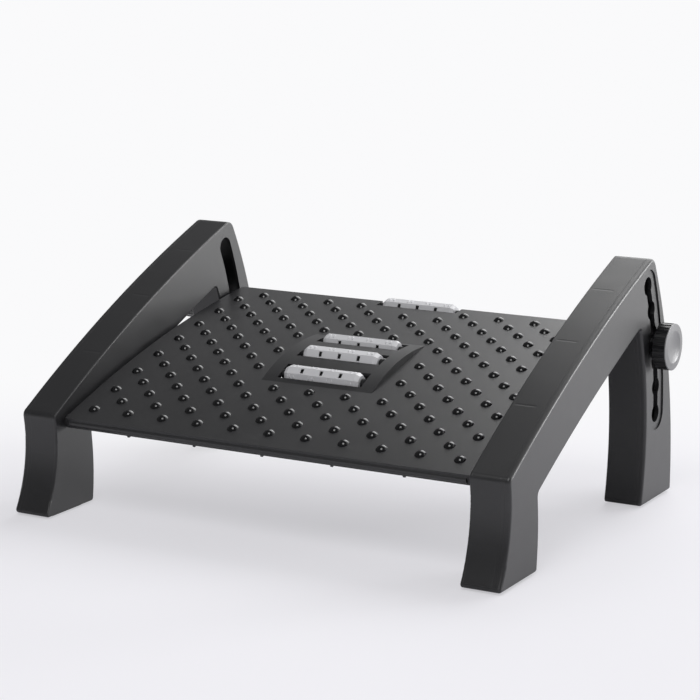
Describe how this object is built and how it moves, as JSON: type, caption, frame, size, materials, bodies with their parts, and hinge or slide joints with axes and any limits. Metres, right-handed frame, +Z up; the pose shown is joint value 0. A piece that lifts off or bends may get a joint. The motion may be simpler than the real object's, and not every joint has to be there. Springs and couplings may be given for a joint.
{
  "type": "tilting under-desk footrest",
  "caption": "Under-desk footrest: a nubbed, arched footplate with massage rollers tilts between two sloping legs and is clamped by side knobs in notched slots.",
  "frame": {"origin": "on the floor, under the middle of the box around the legs", "axes": "+X across the width, +Y from the low front edge to the raised rear, +Z up"},
  "size_m": [0.4942, 0.3482, 0.2169],
  "materials": {
    "leg_plastic": "satin charcoal moulded plastic",
    "plate_plastic": "satin charcoal moulded plastic",
    "nub_plastic": "polished black",
    "roller_plastic": "light grey",
    "cradle_plastic": "black",
    "knob_plastic": "black",
    "cap_plastic": "silver grey, semi-gloss",
    "pad_rubber": "matt",
    "steel": "zinc plated"
  },
  "bodies": {
    "legs": {"left_leg_shell": "leg_plastic", "left_leg_cover": "leg_plastic", "left_front_foot_pad": "pad_rubber", "left_rear_foot_pad": "pad_rubber", "right_leg_shell": "leg_plastic", "right_leg_cover": "leg_plastic", "right_front_foot_pad": "pad_rubber", "right_rear_foot_pad": "pad_rubber"},
    "platform": {"footplate": "plate_plastic", "massage_nubs": "nub_plastic", "pod_roller_cradle": "cradle_plastic", "rear_roller_cradle": "cradle_plastic", "cradle_screws": "steel", "front_roller_axle": "steel", "middle_roller_axle": "steel", "back_roller_axle": "steel", "edge_roller_axle": "steel", "left_pivot_bolt": "steel", "left_guide_nut": "steel", "right_pivot_bolt": "steel", "right_guide_nut": "steel"},
    "front_roller": {"front_roller": "roller_plastic"},
    "middle_roller": {"middle_roller": "roller_plastic"},
    "back_roller": {"back_roller": "roller_plastic"},
    "edge_roller": {"edge_roller": "roller_plastic"},
    "left_collar": {"left_knob_collar": "knob_plastic"},
    "left_knob": {"left_knob_grip": "knob_plastic", "left_knob_cap": "cap_plastic", "left_knob_stud": "steel"},
    "right_collar": {"right_knob_collar": "knob_plastic"},
    "right_knob": {"right_knob_grip": "knob_plastic", "right_knob_cap": "cap_plastic", "right_knob_stud": "steel"}
  },
  "joints": [
    {"name": "tilt", "type": "hinge", "parent": "legs", "child": "platform", "pos_m": [0, -0.14, 0.0801], "axis": [1, 0, 0], "range_deg": [-12.82, 11.83]},
    {"name": "front_roller_spin", "type": "hinge", "parent": "platform", "child": "front_roller", "pos_m": [0, -0.04106, 0.1186], "axis": [1, 0, 0], "continuous": true},
    {"name": "middle_roller_spin", "type": "hinge", "parent": "platform", "child": "middle_roller", "pos_m": [0, -0.00878, 0.12974], "axis": [1, 0, 0], "continuous": true},
    {"name": "back_roller_spin", "type": "hinge", "parent": "platform", "child": "back_roller", "pos_m": [0, 0.02505, 0.13441], "axis": [1, 0, 0], "continuous": true},
    {"name": "edge_roller_spin", "type": "hinge", "parent": "platform", "child": "edge_roller", "pos_m": [0, 0.13371, 0.14785], "axis": [1, 0, 0], "continuous": true},
    {"name": "left_knob_travel", "type": "slide", "parent": "platform", "child": "left_collar", "axis": [-1, 0, 0], "range_m": [0, 0.0025]},
    {"name": "left_knob_turn", "type": "hinge", "parent": "left_collar", "child": "left_knob", "pos_m": [-0.236, 0.1297, 0.14013], "axis": [-1, 0, 0], "range_deg": [0, 722]},
    {"name": "right_knob_travel", "type": "slide", "parent": "platform", "child": "right_collar", "axis": [1, 0, 0], "range_m": [0, 0.0025]},
    {"name": "right_knob_turn", "type": "hinge", "parent": "right_collar", "child": "right_knob", "pos_m": [0.236, 0.1297, 0.14013], "axis": [1, 0, 0], "range_deg": [0, 722]}
  ],
  "couplings": [
    {"joint": "left_knob_turn", "follows": "left_knob_travel", "rad_per_m": 5026.5},
    {"joint": "right_knob_turn", "follows": "right_knob_travel", "rad_per_m": 5026.5}
  ]
}
